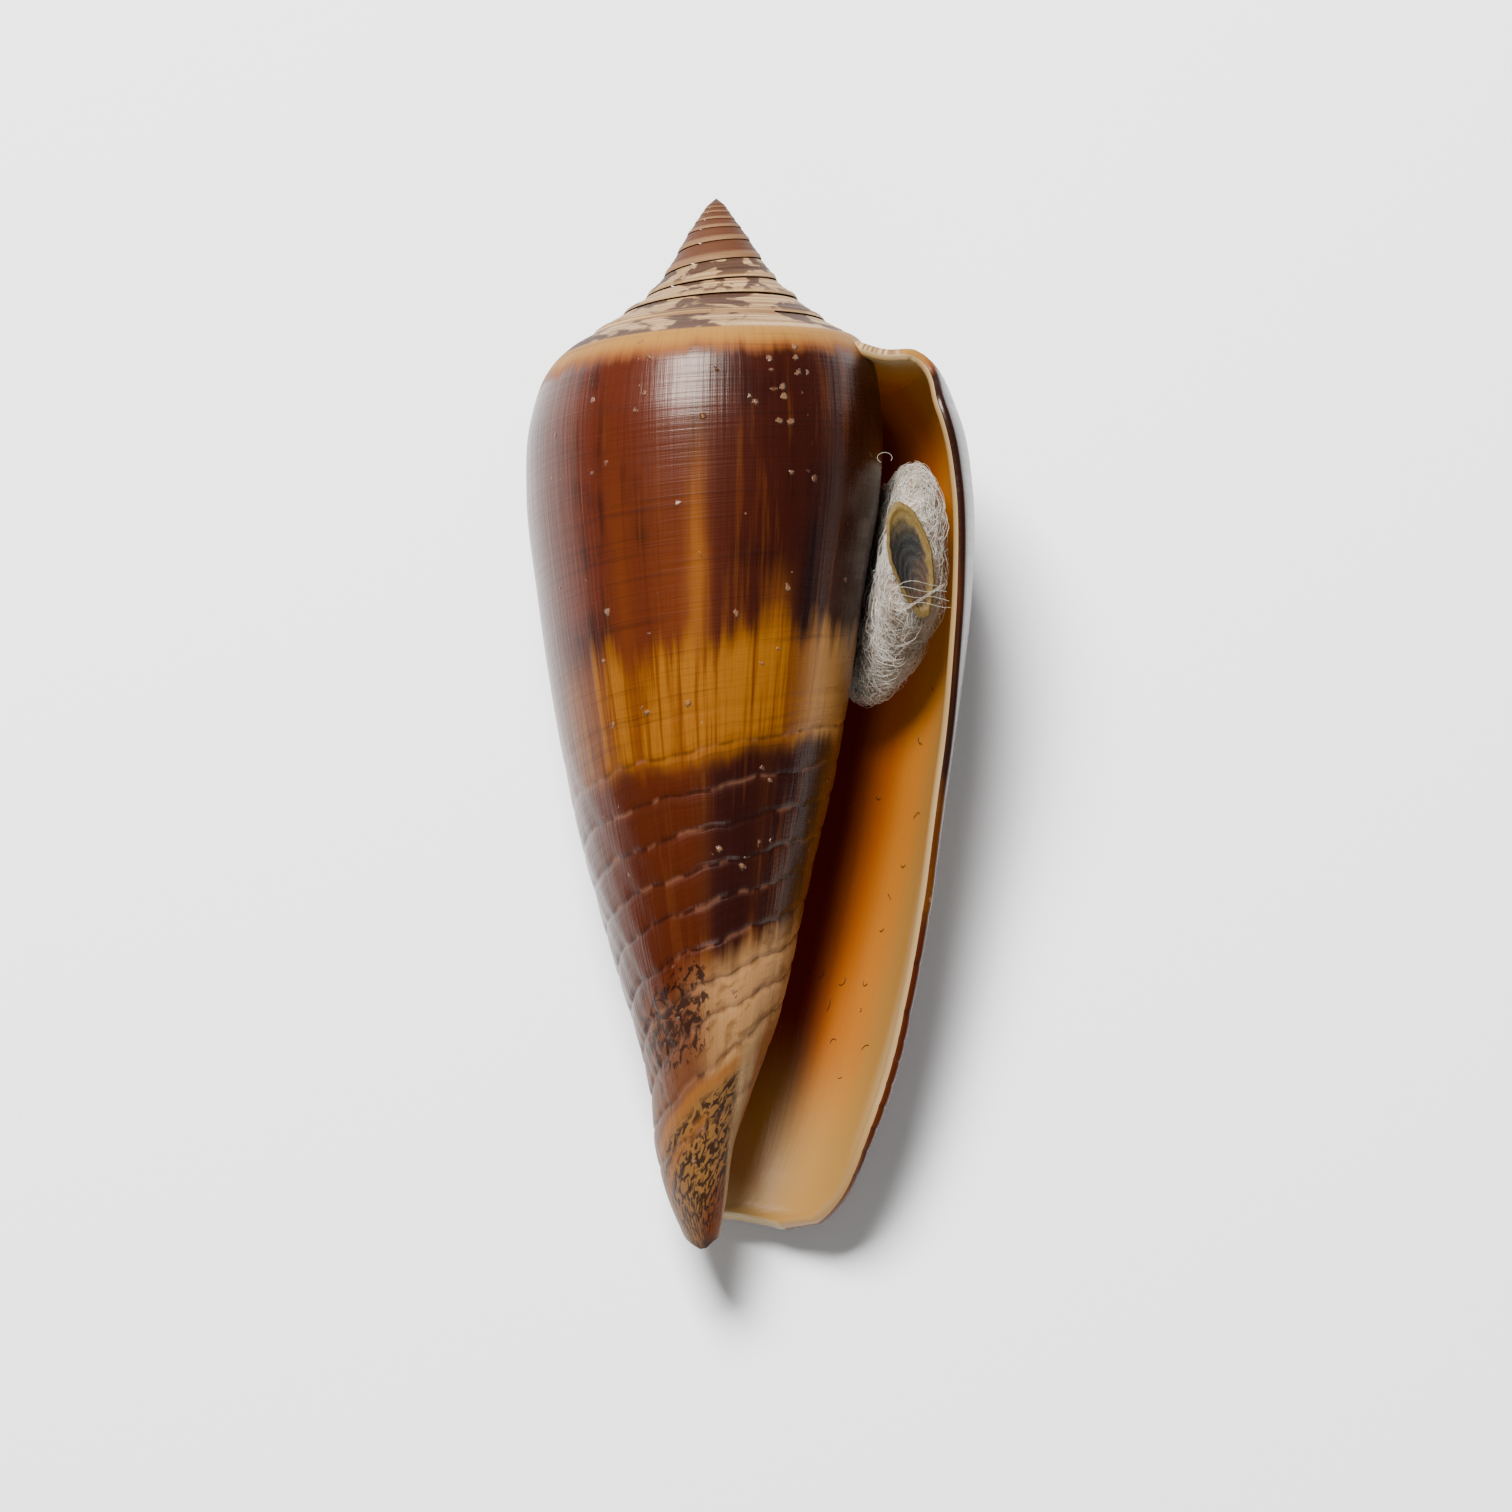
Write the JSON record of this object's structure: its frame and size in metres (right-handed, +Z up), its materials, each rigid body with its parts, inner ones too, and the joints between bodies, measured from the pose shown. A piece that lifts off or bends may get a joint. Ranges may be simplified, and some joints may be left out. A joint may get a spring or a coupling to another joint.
{
  "type": "cone shell",
  "caption": "Long brown cone snail shell lying aperture up, with a plug of cotton wool and a horny operculum seated in its aperture.",
  "frame": {"origin": "centre of the footprint, on the surface that the shell lies on", "axes": "+Y along the shell towards the apex, +Z up out of the aperture side, +X towards the outer lip"},
  "size_m": [0.0254, 0.0596, 0.0225],
  "materials": {
    "shell": "glossy, banded amber and dark brown",
    "cotton": "matte loose fibre",
    "operculum": "horny, olive edge and black middle"
  },
  "bodies": {
    "root": {"shell": "shell", "cotton_plug": "cotton", "operculum": "operculum"}
  },
  "joints": []
}
